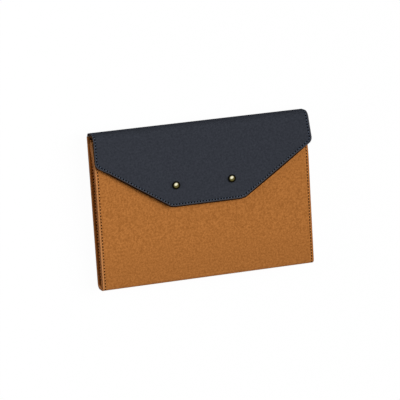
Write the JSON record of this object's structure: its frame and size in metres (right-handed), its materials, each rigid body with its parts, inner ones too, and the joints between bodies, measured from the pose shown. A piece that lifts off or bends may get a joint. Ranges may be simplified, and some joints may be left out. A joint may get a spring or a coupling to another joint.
{
  "type": "notebook organizer",
  "caption": "Flat leather folio for an A5 notebook, with folded side gussets, a contrasting trapezoid flap over the top edge and domed stud closures.",
  "frame": {"origin": "middle of the bounding box's bottom, the organizer lying closed on its back", "axes": "+X along the width, to the right of someone who faces the flap; +Y from the bottom fold to the flap's fold; +Z out of the front"},
  "size_m": [0.2502, 0.1726, 0.0269],
  "materials": {
    "tan_leather": "fine matte grain, stitched edges",
    "gusset_leather": "matte, folded",
    "navy_leather": "smooth matte, stitched edge",
    "navy_lining": "matte",
    "brown_lining": "brushed",
    "grey_board": "raw board",
    "brass": "polished, slightly aged",
    "plated_steel": "nickel plated"
  },
  "bodies": {
    "back": {"back_leather": "tan_leather", "back_board": "grey_board", "back_lining": "brown_lining", "slip_pocket": "tan_leather", "gusset_left": "gusset_leather", "gusset_right": "gusset_leather", "flap_tail": "navy_leather"},
    "front": {"front_leather": "tan_leather", "front_board": "grey_board", "front_lining": "brown_lining", "panel_magnet_left": "plated_steel", "panel_magnet_right": "plated_steel"},
    "spine": {"spine_leather": "navy_leather", "spine_lining": "navy_lining"},
    "flap": {"flap_leather": "navy_leather", "flap_board": "grey_board", "flap_lining": "navy_lining", "stud_left": "brass", "stud_right": "brass", "stud_burr_left": "brass", "stud_burr_right": "brass", "flap_magnet_left": "plated_steel", "flap_magnet_right": "plated_steel"}
  },
  "joints": [
    {"name": "flap_lift", "type": "hinge", "parent": "back", "child": "spine", "pos_m": [0, 0.08528, 0.00243], "axis": [-1, 0, 0], "range_deg": [0, 90]},
    {"name": "flap_fold", "type": "hinge", "parent": "spine", "child": "flap", "pos_m": [0, 0.08337, 0.02169], "axis": [-1, 0, 0], "range_deg": [0, 90]},
    {"name": "mouth_open", "type": "hinge", "parent": "back", "child": "front", "pos_m": [0, -0.08511, 0.01703], "axis": [1, 0, 0], "range_deg": [0, 7], "deforming": ["gusset_left", "gusset_right"]}
  ],
  "couplings": [
    {"joint": "mouth_open", "follows": "flap_fold", "ratio": 0.0777}
  ]
}
